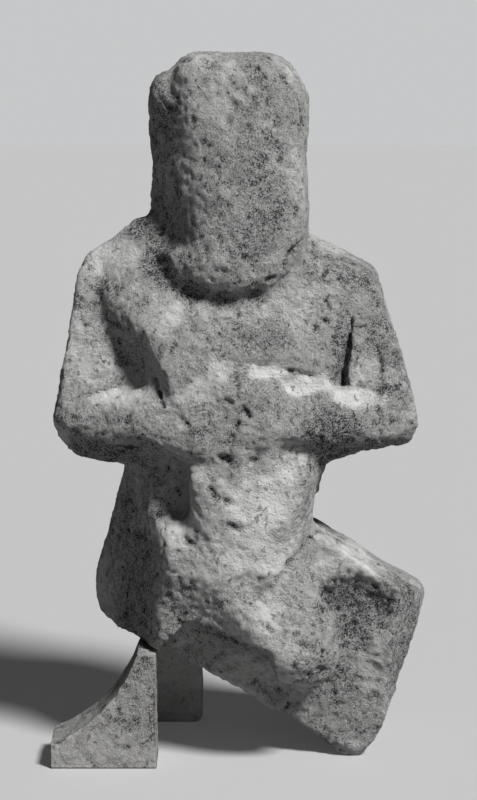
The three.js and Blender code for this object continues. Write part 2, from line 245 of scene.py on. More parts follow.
@dataclass(frozen=True)
class Grain:
    """Seeded noise on a lattice, used for every uneven surface.

    Attributes:
        size: Distance between the lattice points, in millimetres.
        seed: Seed of the lattice values.
    """

    size: float
    seed: int

    # The lattice repeats after this many points, a power of two.
    REPEAT: ClassVar[int] = 32
    # Turned off the axes, so that its rows never run along a carved plane, and moved on from seed to seed.
    TURN: ClassVar[Array] = np.array([[0.80, 0.48, -0.36], [-0.60, 0.64, -0.48], [0.0, 0.60, 0.80]])
    STRIDE: ClassVar[float] = 7.31

    def at(self, p: Array) -> Array:
        """Work out the noise.

        Args:
            p: Points.

        Returns:
            Values from -1 to 1 at the points.
        """
        table = np.random.default_rng(self.seed).uniform(-1, 1, (self.REPEAT,) * 3)
        q = (p @ self.TURN.T) / self.size + self.seed * self.STRIDE
        low = np.floor(q).astype(int)
        part = q - low
        part = part * part * (3 - 2 * part)
        total = np.zeros(len(p))
        for corner in range(8):
            step = np.array([corner & 1, (corner >> 1) & 1, corner >> 2])
            weight = np.where(step, part, 1 - part).prod(axis=1)
            ix, iy, iz = ((low + step) & (self.REPEAT - 1)).T
            total += weight * table[ix, iy, iz]
        return total


@dataclass
class Facets:
    """A closed mesh and the outward normals of its vertices, in millimetres."""

    vertices: Array
    normals: Array
    quads: Array


@dataclass
class Carver:
    """Turns a distance field into an even mesh of quads.

    Attributes:
        low: Lowest corner of the block of stone.
        high: Highest corner of the block of stone.
        cell: Cell sizes along x, y and z.
        block: Cells along the side of a block that is skipped or looked into as one.
        batch: Points that are worked out at a time.
        settling: Times that the vertices are moved onto the surface.
        slope_step: How far apart the field is read to find its slope.
    """

    low: Point
    high: Point
    cell: Point
    block: int = 8
    batch: int = 60000
    settling: int = 2
    slope_step: float = 0.4

    def carve(self, distance: Distance) -> Facets:
        """Mesh the surface of a field.

        Args:
            distance: Gives the distance at each of many points.

        Returns:
            The mesh, with each vertex moved onto the surface.
        """
        values = self._sample(distance)
        inside = values < 0
        ends = (slice(None, -1), slice(1, None))
        parts = [inside[i, j, k] for i in ends for j in ends for k in ends]
        some = np.logical_or.reduce(parts)
        every = np.logical_and.reduce(parts)
        cells = np.argwhere(some & ~every)
        index = np.full(some.shape, -1, np.int64)
        index[tuple(cells.T)] = np.arange(len(cells))
        vertices = self._place(values, cells)
        quads = self._quads(inside, index)
        normals = self._slope(distance, vertices)
        steep = np.linalg.norm(normals, axis=1, keepdims=True)
        reach = 0.6 * min(self.cell)
        for _ in range(self.settling):
            move = np.clip(distance(vertices) / np.maximum(steep[:, 0], 0.5), -reach, reach)
            vertices = vertices - move[:, None] * normals / np.maximum(steep, 1e-6)
        normals = self._slope(distance, vertices)
        normals /= np.maximum(np.linalg.norm(normals, axis=1, keepdims=True), 1e-6)
        return Facets(vertices, normals, quads)

    def _sample(self, distance: Distance) -> Array:
        """Work out the field near the surface, and only its sign elsewhere.

        Args:
            distance: The field.

        Returns:
            Its value at each lattice point.
        """
        span = [math.ceil((hi - lo) / size / self.block) * self.block for lo, hi, size in
                zip(self.low, self.high, self.cell)]
        axes = [lo + size * np.arange(n + 1) for lo, size, n in zip(self.low, self.cell, span)]
        blocks = [n // self.block for n in span]
        middle = [lo + size * self.block * (np.arange(n) + 0.5)
                  for lo, size, n in zip(self.low, self.cell, blocks)]
        grid = np.stack(np.meshgrid(*middle, indexing="ij"), axis=-1).reshape(-1, 3)
        rough = self._in_parts(distance, grid).reshape(blocks)
        reach = 0.62 * self.block * math.dist((0, 0, 0), self.cell) + 4
        values = np.ones([n + 1 for n in span], np.float32)
        wanted = np.zeros(values.shape, bool)
        for i, j, k in np.ndindex(*blocks):
            where = tuple(slice(n * self.block, (n + 1) * self.block + 1) for n in (i, j, k))
            if abs(rough[i, j, k]) < reach:
                wanted[where] = True
            elif rough[i, j, k] < 0:
                values[where] = -1
        at = np.argwhere(wanted)
        points = np.stack([axes[n][at[:, n]] for n in range(3)], axis=1)
        values[wanted] = self._in_parts(distance, points)
        return values

    def _in_parts(self, distance: Distance, points: Array) -> Array:
        """Work out a field in parts that fit the memory."""
        count = max(1, len(points) // self.batch)
        return np.concatenate([distance(part) for part in np.array_split(points, count)])

    def _place(self, values: Array, cells: Array) -> Array:
        """Put a vertex in the middle of each cell's crossings.

        Args:
            values: The field at the lattice points.
            cells: Lowest lattice point of each cell that the surface crosses.

        Returns:
            One vertex for each cell.
        """
        corners = [(i, j, k) for i in (0, 1) for j in (0, 1) for k in (0, 1)]
        at = {c: values[cells[:, 0] + c[0], cells[:, 1] + c[1], cells[:, 2] + c[2]] for c in corners}
        total = np.zeros((len(cells), 3))
        count = np.zeros(len(cells))
        for a in corners:
            for axis in range(3):
                if a[axis] == 0:
                    b = tuple(1 if n == axis else a[n] for n in range(3))
                    crossed = (at[a] < 0) != (at[b] < 0)
                    gap = np.where(crossed, at[a] - at[b], 1.0)
                    place = np.tile(np.array(a, float), (len(cells), 1))
                    place[:, axis] += at[a] / gap
                    total += np.where(crossed[:, None], place, 0.0)
                    count += crossed
        share = total / np.maximum(count, 1)[:, None]
        return np.array(self.low) + (cells + share) * np.array(self.cell)

    @staticmethod
    def _quads(inside: Array, index: Array) -> Array:
        """Join the vertices of the four cells around each crossed edge.

        Args:
            inside: Which lattice points are in the stone.
            index: Number of each cell's vertex.

        Returns:
            The vertex numbers of each quad.
        """
        found = []
        for axis in range(3):
            here = np.moveaxis(inside, axis, 0)
            crossed = np.moveaxis(here[:-1] != here[1:], 0, axis)
            at = np.argwhere(crossed)
            u, w = (axis + 1) % 3, (axis + 2) % 3
            at = at[(at[:, u] > 0) & (at[:, w] > 0)]
            at = at[(at[:, u] < index.shape[u]) & (at[:, w] < index.shape[w])]
            step_u, step_w = np.eye(3, dtype=int)[u], np.eye(3, dtype=int)[w]
            ring = [index[tuple((at - a - b).T)] for a, b in
                    ((step_u, step_w), (0, step_w), (0, 0), (step_u, 0))]
            quad = np.stack(ring, axis=1)
            outward = inside[tuple(at.T)]
            quad[~outward] = quad[~outward][:, ::-1]
            found.append(quad)
        return np.concatenate(found)

    def _slope(self, distance: Distance, points: Array) -> Array:
        """Measure the direction in which the distance grows.

        Args:
            distance: The field.
            points: Where it is measured.

        Returns:
            The slope along x, y and z at each point.
        """
        slopes = []
        for axis in range(3):
            side = np.eye(3)[axis] * self.slope_step
            ahead = self._in_parts(distance, points + side)
            behind = self._in_parts(distance, points - side)
            slopes.append((ahead - behind) / (2 * self.slope_step))
        return np.stack(slopes, axis=1)


def add_object(name: str, data: bpy.types.ID) -> bpy.types.Object:
    """Make an object and link it to the scene.

    Args:
        name: Its name.
        data: Its mesh, light or camera.

    Returns:
        The object.
    """
    made = bpy.data.objects.new(name, data)
    bpy.context.scene.collection.objects.link(made)
    return made


# Marks that wear, tools and breaks have left on the surface; some are darkened with painted shade.
@dataclass(frozen=True)
class Mark:
    """A groove, chip, pit or lump on the surface, placed in three dimensions.

    Attributes:
        start: One end, in millimetres.
        end: The other end, the same as start for a round mark.
        width: Half width.
        depth: How far the surface goes in, or out where negative.
        dirt_and_shade: How much dirt it holds and painted shade it adds, from 0 to 1.
    """

    start: Point
    end: Point
    width: float
    depth: float
    dirt_and_shade: float

    def share(self, p: Array) -> Array:
        """Work out how much of the mark reaches each point.

        Args:
            p: Points.

        Returns:
            1 in the middle of the mark and 0 from its edge outwards.
        """
        a = np.array(self.start, float)
        run = np.array(self.end, float) - a
        along = np.clip((p - a) @ run / max(run @ run, TINY), 0.0, 1.0)
        gap = np.linalg.norm(p - a - along[:, None] * run, axis=1) / self.width
        return np.clip(1 - gap**2, 0.0, 1.0) ** 1.5


def groove(points: Sequence[Point], width: float, depth: float, dirt_and_shade: float) -> list[Mark]:
    """Lead a groove from point to point.

    Args:
        points: Points along the groove.
        width: Half width.
        depth: How far it goes in.
        dirt_and_shade: How much dirt and painted shade it holds.

    Returns:
        One mark for each stretch of the groove.
    """
    return [Mark(a, b, width, depth, dirt_and_shade) for a, b in zip(points, points[1:])]


@dataclass(frozen=True)
class Patch:
    """A part of the surface that is darker or paler than the rest.

    Attributes:
        centre: Middle of the patch, in millimetres.
        radii: Half sizes along x, y and z.
        strength: How far the tone moves, from 0 to 1.
    """

    centre: Point
    radii: Point
    strength: float


# Dirt and patina on faces that nobody has rubbed, and painted shade in hollows, creases and notches, under
# edges and the beard, and on sides turned from the light.
STAINS_AND_SHADE = (
    # Patina and painted shade in the hollow of the block's front, with painted shadow of the rim at its right
    # end.
    Patch((84, -42, 112), (40, 26, 26), 0.75),  # the hollow in the block's front
    Patch((108, -42, 124), (16, 14, 12), 0.35),  # its right end
    Patch((68, -66, 252), (28, 20, 17), 0.85),  # front of the right forearm
    # Painted shade under the right forearm and on the edge below it.
    Patch((98, -46, 236), (48, 36, 13), 1.0),  # its underside
    Patch((88, -40, 230), (46, 34, 8), 1.0),  # and the edge below
    # Painted shade under the left forearm.
    Patch((-100, -46, 236), (42, 36, 13), 0.85),  # underside of the left forearm
    Patch((-88, -58, 255), (40, 20, 17), 0.25),  # front of the left forearm
    Patch((-106, -40, 312), (18, 26, 44), 0.12),  # left arm
    Patch((-26, -78, 262), (14, 14, 24), 0.2),  # left part of the hands
    # Painted shade on the broken face, which turns downwards.
    Patch((5, -38, 82), (40, 30, 26), 0.08),  # the broken face
    Patch((-52, -44, 100), (14, 14, 16), 0.4),  # the lump beside it
    Patch((-34, -50, 128), (24, 22, 34), 0.42),  # the apron left of the ridge
    # Painted shade on the flat left side and the waist's left side, which turn from the light.
    Patch((-88, -18, 140), (36, 44, 60), 0.45),  # the flat left side
    Patch((-76, -30, 205), (20, 40, 34), 0.2),  # left side of the waist
    Patch((78, -40, 55), (30, 24, 44), 0.2),  # foot of the block
    # Painted shade under the ridge's round end.
    Patch((56, -74, 78), (20, 16, 14), 0.4),  # under the ridge's round end
    # Painted shade in the hollow under the left forearm.
    Patch((-62, -42, 194), (12, 24, 16), 0.5),  # left edge of the hollow under the left forearm
    # Painted shadow of the beard along its left edge.
    Patch((-55, -48, 387), (9, 18, 11), 0.95),  # left edge of the beard
    # Painted shade in the hollow between arm and chest, down to its foot.
    Patch((-93, -34, 348), (11, 20, 26), 0.45),  # the hollow between arm and chest
    Patch((-72, -48, 312), (16, 18, 26), 0.4),  # its foot
    Patch((4, -66, 326), (30, 14, 13), 0.3),  # the chest over the hands
    # Painted shade on the hair's left side and where the worn front turns left, away from the light.
    Patch((-54, -24, 440), (18, 36, 84), 0.4),  # left side of the hair
    Patch((-14, -72, 440), (22, 22, 78), 0.3),  # left half of the worn front
    Patch((8, -72, 450), (30, 22, 90), 0.34),  # its middle
    Patch((84, -34, 372), (40, 34, 16), 0.6),  # right shoulder
    Patch((112, -46, 312), (20, 24, 56), 0.3),  # right arm
    # Painted shade in the slit and on the chest that falls into it.
    Patch((73, -52, 314), (10, 26, 28), 0.7),  # the slit and what lies left of it
    Patch((112, -52, 258), (24, 22, 18), 0.25),  # right elbow
    Patch((126, -18, 92), (20, 42, 60), 0.65),  # right edge of the block
    # Painted shade in the notch between beard and right shoulder.
    Patch((57, -34, 391), (5, 24, 10), 1.0),  # the notch between beard and right shoulder
    # Painted shadow of the beard on the left shoulder.
    Patch((-70, -28, 402), (9, 26, 14), 0.9),  # the dark band between beard and left shoulder
    # Painted shade under the beard, from left to right.
    Patch((-64, -42, 379), (9, 20, 15), 0.9),
    Patch((-52, -54, 364), (12, 16, 9), 0.75),
    Patch((-34, -62, 355), (16, 14, 9), 0.85),
    Patch((-12, -66, 350), (18, 16, 7), 0.9),
    Patch((12, -66, 352), (14, 14, 5), 0.7),
)

# Places that handling and weather have rubbed smooth and pale.
RUBS = (
    Patch((22, -72, 208), (36, 26, 30), 1.0),  # the belly
    Patch((12, -66, 170), (32, 24, 24), 0.9),  # and the lap under it
    Patch((30, -74, 112), (20, 20, 16), 0.18),  # the ridge of the lap
    Patch((-44, -52, 178), (20, 20, 10), 0.6),  # left end of the lap
    Patch((20, -67, 300), (20, 14, 8), 0.9),  # tops of the hands and the right forearm
    Patch((52, -66, 290), (24, 14, 9), 0.95),
    Patch((86, -60, 280), (22, 14, 9), 0.8),
    Patch((-10, -68, 303), (12, 12, 6), 0.6),
    Patch((-84, -54, 281), (26, 14, 8), 0.25),  # top of the left forearm
    Patch((-88, -28, 378), (26, 26, 18), 0.7),  # left shoulder
    Patch((-56, -58, 342), (18, 20, 18), 0.3),  # left and right of the chest
    Patch((44, -60, 335), (16, 16, 16), 0.5),
    Patch((84, -30, 152), (34, 40, 12), 0.6),  # top of the block and its front right edge
    Patch((84, -32, 10), (12, 16, 10), 0.5),  # its foot
)

# Grooves, chips and lumps that can be told apart from a step away.
MARKS = (
    # Creases over the right and the left forearm, and the slit at the left wrist, darkened with painted
    # shade.
    *groove([(8, -69, 306), (36, -67, 300), (52, -67, 297), (69, -62, 291), (96, -55, 285)], 2.6, 1.8, 0.55),
    *groove([(-121, -57, 275), (-108, -54, 281), (-86, -46, 287)], 2.2, 1.4, 0.55),
    *groove([(-61, -62, 292), (-57, -66, 283), (-54, -73, 275)], 2.4, 3.0, 1.0),
    # A scratch in the hollow of the arm, and the groove with its pits in the right arm.
    *groove([(-96, -39, 334), (-84, -47, 326)], 1.7, 1.2, 0.9),
    *groove([(102, -49, 315), (105, -51, 302), (105, -53, 286)], 2.0, 2.2, 0.9),
    Mark((104, -53, 284), (107, -53, 283), 3.4, 2.6, 1.0),
    Mark((111, -52, 284), (114, -51, 285), 3.0, 2.2, 1.0),
    Mark((102, -54, 279), (104, -54, 279), 2.2, 1.6, 0.8),
    Mark((85, -55, 330), (93, -53, 330), 1.7, 1.2, 0.7),
    # The notch and the line between the beard and the right shoulder, darkened as painted shade along the
    # beard's edge.
    Mark((56, -38, 397), (57, -42, 387), 3.2, 3.4, 1.0),
    Mark((57, -42, 387), (55, -47, 382), 2.2, 2.0, 0.8),
    Mark((46, -52, 392), (38, -59, 383), 3.6, 3.4, 1.0),
    Mark((38, -59, 383), (32, -63, 375), 3.2, 3.0, 1.0),
    Mark((25, -66, 367), (22, -66, 365), 3.4, 2.0, 0.9),
    Mark((14, -68, 356), (11, -68, 354), 3.4, 2.0, 0.9),
    *groove([(42, -50, 414), (48, -50, 397)], 1.7, 0.8, 0.7),
    # Small marks of the right shoulder and the chest under it.
    Mark((59, -48, 382), (66, -47, 385), 2.0, 1.2, 0.8),
    Mark((74, -45, 382), (78, -45, 382), 3.2, 2.2, 1.0),
    Mark((63, -50, 376), (63, -51, 367), 2.4, 0.6, 0.7),
    Mark((63, -55, 351), (67, -55, 342), 2.2, 1.4, 0.9),
    Mark((63, -56, 335), (64, -56, 334), 3.0, 2.0, 1.0),
    # Painted shade along the rounded outer edge of the left arm.
    *groove([(-118, -38, 350), (-132, -38, 288), (-134, -40, 262)], 4.6, 0.0, 0.8),
    # Pits beside the slit, on the chest and on the hands.
    Mark((48, -59, 335), (49, -59, 334), 2.2, 1.6, 0.8),
    Mark((55, -60, 331), (56, -60, 328), 3.2, 2.2, 0.9),
    Mark((61, -58, 337), (64, -56, 332), 2.4, 1.6, 0.7),
    Mark((-21, -64, 339), (-20, -64, 339), 2.0, 1.4, 0.8),
    Mark((-33, -65, 333), (-31, -66, 328), 2.6, 1.5, 0.7),
    Mark((15, -68, 302), (21, -68, 303), 3.0, 2.2, 0.9),
    Mark((-9, -80, 281), (-6, -80, 279), 3.0, 2.0, 0.9),
    Mark((3, -80, 274), (7, -80, 268), 3.0, 2.2, 1.0),
    Mark((-12, -77, 237), (-8, -77, 235), 4.0, 2.6, 0.9),
    Mark((7, -77, 235), (12, -77, 236), 3.2, 2.2, 0.8),
    *groove([(-2, -72, 303), (-1, -80, 290), (-1, -81, 280)], 2.4, 2.0, 0.6),
    *groove([(-1, -81, 266), (-4, -80, 254), (-6, -79, 243)], 2.2, 1.8, 0.6),
    # Chips of the belly and the ridge.
    Mark((-20, -74, 214), (-15, -75, 208), 4.0, 2.4, 0.9),
    Mark((-9, -76, 206), (-7, -76, 204), 3.4, 2.2, 0.9),
    Mark((-6, -71, 187), (0, -71, 183), 3.6, 2.0, 0.8),
    Mark((-39, -55, 175), (-36, -57, 171), 3.6, 2.0, 0.8),
    Mark((0, -68, 170), (3, -68, 168), 2.6, 1.4, 0.7),
    Mark((46, -77, 98), (54, -76, 96), 4.6, 2.6, 0.9),
    Mark((60, -72, 80), (63, -70, 76), 4.0, 2.2, 0.8),
    Mark((20, -74, 113), (24, -74, 110), 3.0, 1.6, 0.7),
    # The thin broken edge over the hollow, a groove and pits left of the slit that broaden its painted shade,
    # and the crease between the belly and the block, darkened with painted shade.
    *groove([(-62, -60, 238), (-50, -72, 236), (-40, -79, 239)], 2.0, -1.6, 0.0),
    *groove([(81, -56, 322), (76, -58, 305), (73, -58, 292)], 5.4, 1.0, 1.0),
    Mark((76, -57, 322), (74, -58, 314), 2.4, 1.6, 0.9),
    Mark((86, -56, 312), (85, -56, 302), 2.4, 1.2, 0.9),
    *groove([(60, -30, 175), (54, -54, 173), (48, -61, 166), (37, -58, 156), (27, -61, 144)], 2.6, 1.8, 0.7),
    # Two dark strokes on the block's top, and the small lump at its foot.
    *groove([(58, -36, 182), (80, -8, 163)], 1.8, 1.0, 0.9),
    *groove([(64, -40, 175), (90, -6, 155)], 1.8, 1.0, 0.8),
    Mark((86, -31, 8), (78, -32, 12), 6.0, -2.0, 0.1),
    # A pale streak that the break has left under its edge, and a groove darkened as the painted shadow under
    # the ridge's edge.
    *groove([(16, -42, 90), (20, -32, 66), (22, -30, 48)], 2.2, -1.4, 0.0),
    *groove([(-34, -40, 100), (-10, -46, 96), (6, -44, 90)], 2.4, 1.4, 0.9),
    # Lines of the hair at the right, and hollows of the crown.
    *groove([(20, -48, 521), (32, -52, 508), (42, -54, 494)], 2.0, 1.2, 0.6),
    *groove([(44, -52, 488), (46, -54, 472)], 2.4, 2.2, 0.9),
    Mark((-42, -34, 521), (-36, -38, 521), 4.0, 2.2, 0.7),
    Mark((-22, -48, 517), (-16, -50, 514), 3.6, 2.0, 0.7),
)


def scatter(rng: np.random.Generator, vertices: Array, count: int,
            width: Pair, depth: Pair) -> list[Mark]:
    """Place round pits at random over a surface.

    Args:
        rng: Seeded source of the places and sizes.
        vertices: The surface's points.
        count: Number of pits.
        width: Smallest and largest half width.
        depth: Smallest and largest depth.

    Returns:
        The pits.
    """
    marks = []
    for place in vertices[rng.choice(len(vertices), count, replace=False)]:
        size = width[0] + (width[1] - width[0]) * rng.random() ** 2.2
        deep = depth[0] + (depth[1] - depth[0]) * rng.random()
        drag = rng.normal(0, 0.7 * size, 3)
        start, end = (tuple(float(v) for v in spot) for spot in (place, place + drag))
        marks.append(Mark(start, end, size, deep * size, 0.35 + 0.65 * rng.random()))
    return marks


@dataclass
class Surface:
    """A carved surface with the dirt, painted shade and wear that its finish reads.

    Attributes:
        facets: The mesh.
        inward: How far each vertex goes in.
        dirt_and_shade: Dark dirt and painted shade at each vertex, 0 to 1.
        worn: Pale worn stone at each vertex, 0 to 1.
    """

    facets: Facets
    inward: Array = field(init=False)
    dirt_and_shade: Array = field(init=False)
    worn: Array = field(init=False)

    # The marks' ends look for the surface this near, and no further than this behind its front.
    REACH: ClassVar[float] = 2.2
    BEHIND: ClassVar[float] = 8.0
    # Over this height above the ground the wear fades in, so that the foot stays flat.
    FOOT: ClassVar[float] = 2.0

    def __post_init__(self) -> None:
        """Start with a clean and even surface."""
        self.inward = np.zeros(len(self.facets.vertices))
        self.dirt_and_shade = np.zeros(len(self.facets.vertices))
        self.worn = np.zeros(len(self.facets.vertices))

    def roughen(self, size: float, height: float, seed: int, where: Amount) -> None:
        """Add even noise of one size."""
        self.inward += height * where * Grain(size, seed).at(self.facets.vertices)

    def peck(self, size: float, depth: float, seed: int, where: Amount = 1.0) -> None:
        """Add small hollows where the noise is high, as a pointed hammer leaves.

        Args:
            size: Distance between the hollows.
            depth: Depth of the hollows.
            seed: Seed of the noise.
            where: How much of it each vertex gets.
        """
        start, span, darkening = 0.18, 0.5, 0.30
        high = np.clip((Grain(size, seed).at(self.facets.vertices) - start) / span, 0.0, 1.0)
        self.inward += depth * where * high
        self.dirt_and_shade += darkening * where * high

    def settle(self, marks: Sequence[Mark]) -> list[Mark]:
        """Move the ends of the marks onto the surface that shows from the front.

        Args:
            marks: Marks that lie near the surface.

        Returns:
            The same marks on the surface.
        """
        x, y, z = self.facets.vertices.T
        height = z + VIEW_SLOPE * y

        def on_surface(place: Point) -> Point:
            """Find the surface point that suits a place.

            Args:
                place: Where the mark was drawn.

            Returns:
                The point of the surface that is seen there.
            """
            gap = np.hypot(x - place[0], height - place[2] - VIEW_SLOPE * place[1])
            near = np.flatnonzero(gap < max(self.REACH, gap.min() + 0.1))
            front = near[y[near] < y[near].min() + self.BEHIND]
            found = front[gap[front].argmin()]
            return float(x[found]), float(y[found]), float(z[found])

        return [replace(mark, start=on_surface(mark.start), end=on_surface(mark.end)) for mark in marks]

    def mark(self, marks: Sequence[Mark]) -> None:
        """Cut the marks and darken them with dirt and painted shade.

        Args:
            marks: Marks with their ends on the surface.
        """
        points = self.facets.vertices
        order = np.argsort(points[:, 2])
        heights = points[order, 2]
        for mark in marks:
            low = min(mark.start[2], mark.end[2]) - mark.width
            high = max(mark.start[2], mark.end[2]) + mark.width
            near = order[np.searchsorted(heights, low): np.searchsorted(heights, high)]
            share = mark.share(points[near])
            self.inward[near] += mark.depth * share
            self.dirt_and_shade[near] += mark.dirt_and_shade * share

    def _patches(self, patches: Sequence[Patch], seed: int) -> Array:
        """Lay patches with ragged edges over the surface.

        Args:
            patches: The patches.
            seed: Seed of the ragged edges.

        Returns:
            The strongest patch at each vertex.
        """
        p = self.facets.vertices
        ragged = 0.22 * Grain(16, seed).at(p) + 0.16 * Grain(6, seed + 1).at(p)
        edge, fade = 1.2, 1.8
        total = np.zeros(len(p))
        for patch in patches:
            gap = np.sqrt((((p - np.array(patch.centre)) / np.array(patch.radii)) ** 2).sum(axis=1))
            total = np.maximum(total, patch.strength * np.clip((edge - gap - ragged) * fade, 0.0, 1.0))
        return total

    def darken_patches(self, patches: Sequence[Patch], seed: int) -> None:
        """Darken patches of the surface, for stains and for painted shade."""
        self.dirt_and_shade += self._patches(patches, seed)

    def rub(self, patches: Sequence[Patch], seed: int) -> None:
        """Lighten patches of the surface."""
        self.worn += self._patches(patches, seed)

    def build(self, name: str, node: str) -> bpy.types.Object:
        """Make the Blender mesh object, in metres.

        Args:
            name: Name of the object.
            node: The CAD node whose box the mesh stays in.

        Returns:
            The object, linked to the scene.
        """
        facets = self.facets
        ground = np.clip(facets.vertices[:, 2] / self.FOOT, 0.0, 1.0)
        places = facets.vertices - (self.inward * ground)[:, None] * facets.normals
        places[:, 2] = np.maximum(places[:, 2], 0.0)
        low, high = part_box(node)
        places = np.clip((places + ORIGIN_SHIFT) * MM, np.array(low), np.array(high))
        mesh = bpy.data.meshes.new(name)
        mesh.vertices.add(len(places))
        mesh.vertices.foreach_set("co", places.astype(np.float32).ravel())
        mesh.loops.add(facets.quads.size)
        mesh.loops.foreach_set("vertex_index", facets.quads.astype(np.int32).ravel())
        mesh.polygons.add(len(facets.quads))
        mesh.polygons.foreach_set("loop_start", np.arange(0, facets.quads.size, 4, dtype=np.int32))
        mesh.update(calc_edges=True)
        mesh.polygons.foreach_set("use_smooth", np.ones(len(facets.quads), bool))
        for layer, values in (("dirt_and_shade", self.dirt_and_shade), ("worn", self.worn)):
            data = mesh.attributes.new(layer, "FLOAT", "POINT")
            data.data.foreach_set("value", np.clip(values, 0.0, 1.0).astype(np.float32))
        return add_object(name, mesh)


# The figure and its props.
@dataclass
class SeatedFigure:
    """The figure, one stone from the crown to the corner that it stands on.

    Attributes:
        crown_z: Height of the crown.
        head_left_x: Left side of the head, as seen from the front.
        head_right_x: Right side of the head.
        beard_foot_z: Height of the beard's lowest point.
        beard_arc_z: Height where the beard's round foot begins.
        face_half_width: Half width of the worn front plane.
        face_y: Front of the beard's foot.
        face_lean: How far the front plane leans back for each unit of height.
        chest_y: Front of the chest.
        back_y: Back of the shoulders.
        forearm_z: Height of the forearms' middle where they meet.
        node: The CAD node that it stands for.
        cell: Mesh cell sizes.
        low: Lowest corner of the stone before it is carved.
        high: Its highest corner.
    """

    crown_z: float = 526
    head_left_x: float = -65
    head_right_x: float = 50
    beard_foot_z: float = 353
    beard_arc_z: float = 400
    face_half_width: float = 40
    face_y: float = -76
    face_lean: float = 0.12
    chest_y: float = -67
    back_y: float = 47
    forearm_z: float = 262
    node: str = "limestone_figure"
    cell: Point = (1.85, 3.0, 1.85)
    low: Point = (-151, -106, -8)
    high: Point = (157, 92, 540)

    def head(self, p: Array) -> Array:
        """Hair and beard as one tall block whose sides and round foot narrow towards the worn front plane.

        Args:
            p: Points.

        Returns:
            The distance at each point.
        """
        x, y, z = p.T
        behind = np.clip(y + 80, 0, 60)
        half = self.face_half_width + 0.44 * behind
        middle = -1 - 0.06 * behind
        low = self.beard_arc_z - z
        sides = np.where(low < 0, np.abs(x - middle) - half, np.hypot(x - middle, low) - half - 7 * low / 48)
        front = self.face_y + (z - self.beard_foot_z) * self.face_lean + 0.0045 * (x - 12) ** 2
        d = soft_max(sides, front - y, 10)
        corner = soft_max(-cut(p, (-31, -60, 402), (-0.82, -0.57, -0.02)), 386 - z, 8)
        d = soft_max(d, -corner, 8)
        centre = (self.head_left_x + self.head_right_x) / 2
        wide = (self.head_right_x - self.head_left_x) / 2
        d = soft_max(d, rounded_box(p, (centre, -10, self.crown_z - 86), (wide, 80, 86), 20), 8)
        d = soft_max(d, ellipsoid(p, (-7, -20, 440), (76, 76, 112)), 14)
        d = soft_max(d, cut(p, (-43, 0, self.crown_z - 2), (-0.8, -0.1, 0.6)), 8)
        d = soft_min(d, ellipsoid(p, (-53, -14, 494), (13, 20, 19)), 7)
        return trim(
            p, d,
            ((38, -14, self.crown_z - 6), (0.72, -0.12, 0.62), 12),
            ((-5, -62, self.crown_z - 12), (0, -0.55, 0.83), 12),
        )

    def torso(self, p: Array) -> Array:
        """Shoulders and upper arms with flat facets, and the chest standing out between them.

        Args:
            p: Points.

        Returns:
            The distance at each point.
        """
        y = self.chest_y
        d = slab(p, UPPER_OUTLINE, (-58, 46), 9)
        d = soft_max(d, p[:, 1] - self.back_y + 0.0016 * p[:, 0] ** 2, 10)
        d = soft_max(d, cut(p, (0, 36, 392), (0, 0.5, 0.87)), 14)
        facet = soft_max(-cut(p, (-97, -36, 324), (0.23, -0.92, 0.32)), p[:, 0] + 66, 4)
        d = soft_max(d, -facet, 4)
        d = soft_max(d, cut(p, (100, -49, 330), (0.1, -0.99, 0.1)), 6)
        chest = rounded_box(p, (0, -20, 330), (104, 62, 82), 18)
        chest = soft_max(chest, cut(p, (0, y, 345), (0.04, -0.99, 0.08)), 6)
        hollow = soft_max(-cut(p, (-66, y - 2, 320), (-0.76, -0.56, -0.33)), p[:, 0] + 20, 6)
        chest = soft_max(chest, -hollow, 4)
        chest = trim(
            p, chest,
            ((-100, -27, 368), (-0.56, -0.66, 0.5), 12),
            ((98, -50, 331), (0.7, -0.7, 0), 6),
        )
        d = soft_min(soft_min(d, chest, 8), ellipsoid(p, (-7, 4, 392), (58, 36, 26)), 10)
        return trim(
            p, d,
            # Slopes from the neck to the left and the right of the chest.
            ((-75, y + 39, 390), (-0.12, -0.85, 0.52), 12),
            ((30, y + 3, 345), (0.18, -0.96, 0.22), 16),
            # Tops of the shoulders.
            ((-101, -24, 391), (-0.52, 0.2, 0.83), 5),
            ((84, -20, 371), (0.46, -0.1, 1), 8),
            # Undersides of the elbows.
            ((-95, -57, 248), (-0.25, -0.6, -0.75), 5),
            ((100, -57, 250), (0.2, -0.62, -0.76), 5),
        )

    def forearms(self, p: Array) -> Array:
        """Forearms that meet in front, and the clasped hands between them.

        Args:
            p: Points.

        Returns:
            The distance at each point.
        """
        z = self.forearm_z
        left = trim(
            p, limb(p, (-127, -32, z - 15), (-20, -60, z), (0, 0.1, 1), (20, 23), (22, 33), 9),
            ((-95, -60, z + 14), (-0.2, -0.6, 0.78), 4),
            ((-95, -57, z - 15), (-0.25, -0.6, -0.75), 8),
        )
        right = trim(
            p, limb(p, (124, -26, z - 4), (14, -61, z + 3), (0, 0.1, 1), (20, 23), (16, 35), 9),
            ((65, -67, z + 17), (0.2, -0.6, 0.78), 4),
            ((80, -59, z - 16), (0.15, -0.62, -0.77), 6),
        )
        hands = trim(
            p, limb(p, (-48, -50, z + 2), (26, -61, z + 6), (0, 0.05, 1), (20, 21), (30, 37), 10),
            ((-36, -66, z + 28), (-0.55, -0.35, 0.76), 5),
            ((0, -79, z + 27), (0, -0.6, 0.8), 6),
            ((0, -79, z - 14), (0, -0.96, -0.28), 6),
        )
        return soft_min(soft_min(left, right, 8), hands, 8)

